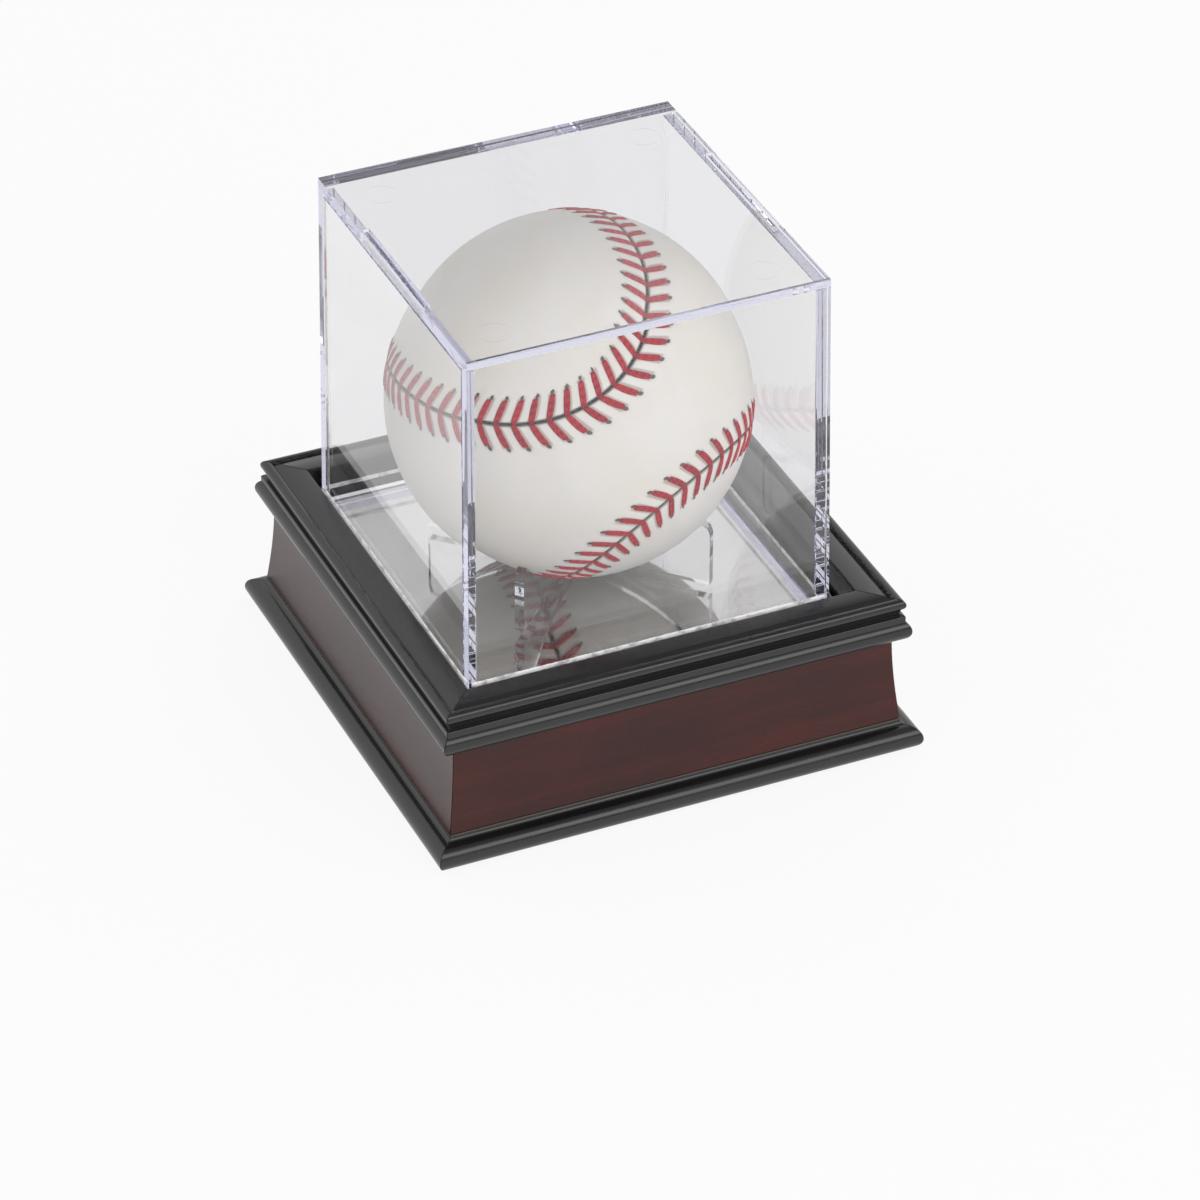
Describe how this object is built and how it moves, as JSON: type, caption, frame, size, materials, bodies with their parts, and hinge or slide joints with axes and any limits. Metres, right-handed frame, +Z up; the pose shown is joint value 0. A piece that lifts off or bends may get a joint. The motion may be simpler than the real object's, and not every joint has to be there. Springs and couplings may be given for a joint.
{
  "type": "ball display case",
  "caption": "Clear two-part cube case with a ball on a crossed cradle, standing on a mirror set into a mitred wooden base with moulded rails.",
  "frame": {"origin": "middle of the base at the level it stands on", "axes": "+X to the right along the front, -Y to the front, +Z up"},
  "size_m": [0.1084, 0.1096, 0.1102],
  "materials": {
    "black_lacquer": "satin black lacquer on moulded wood",
    "mahogany": "dark red-brown stained wood, satin clear coat",
    "mirror": "silvered flat plate",
    "hardboard": "raw hardboard",
    "pine": "raw pine",
    "felt": "black felt",
    "clear_plastic": "clear moulded plastic, polished",
    "white_leather": "smooth warm white leather",
    "wound_yarn": "wound grey yarn, out of sight",
    "red_thread": "waxed red thread"
  },
  "bodies": {
    "base": {"base_rail_back": "black_lacquer", "base_rail_front": "black_lacquer", "base_rail_left": "black_lacquer", "base_rail_right": "black_lacquer", "bottom_board": "hardboard", "corner_block_back_left": "pine", "corner_block_back_right": "pine", "corner_block_front_left": "pine", "corner_block_front_right": "pine", "deck_board": "hardboard", "felt_pad_back_left": "felt", "felt_pad_back_right": "felt", "felt_pad_front_left": "felt", "felt_pad_front_right": "felt", "mirror_plate": "mirror", "side_panel_back": "mahogany", "side_panel_front": "mahogany", "side_panel_left": "mahogany", "side_panel_right": "mahogany", "top_rail_back": "black_lacquer", "top_rail_front": "black_lacquer", "top_rail_left": "black_lacquer", "top_rail_right": "black_lacquer"},
    "tray": {"case_tray": "clear_plastic", "ball_cradle": "clear_plastic"},
    "cover": {"case_cover": "clear_plastic"},
    "ball": {"ball_windings": "wound_yarn", "ball_cover_a": "white_leather", "ball_cover_b": "white_leather", "ball_seam_thread": "red_thread"}
  },
  "joints": [
    {"name": "case_lift", "type": "slide", "parent": "base", "child": "tray", "axis": [0, 0, 1], "range_m": [0, 0.04]},
    {"name": "cover_lift", "type": "slide", "parent": "tray", "child": "cover", "axis": [0, 0, 1], "range_m": [0, 0.09]},
    {"name": "ball_turn", "type": "hinge", "parent": "tray", "child": "ball", "pos_m": [-0.0021, -0.0019, 0.0705], "axis": [0, 0, 1], "continuous": true}
  ]
}
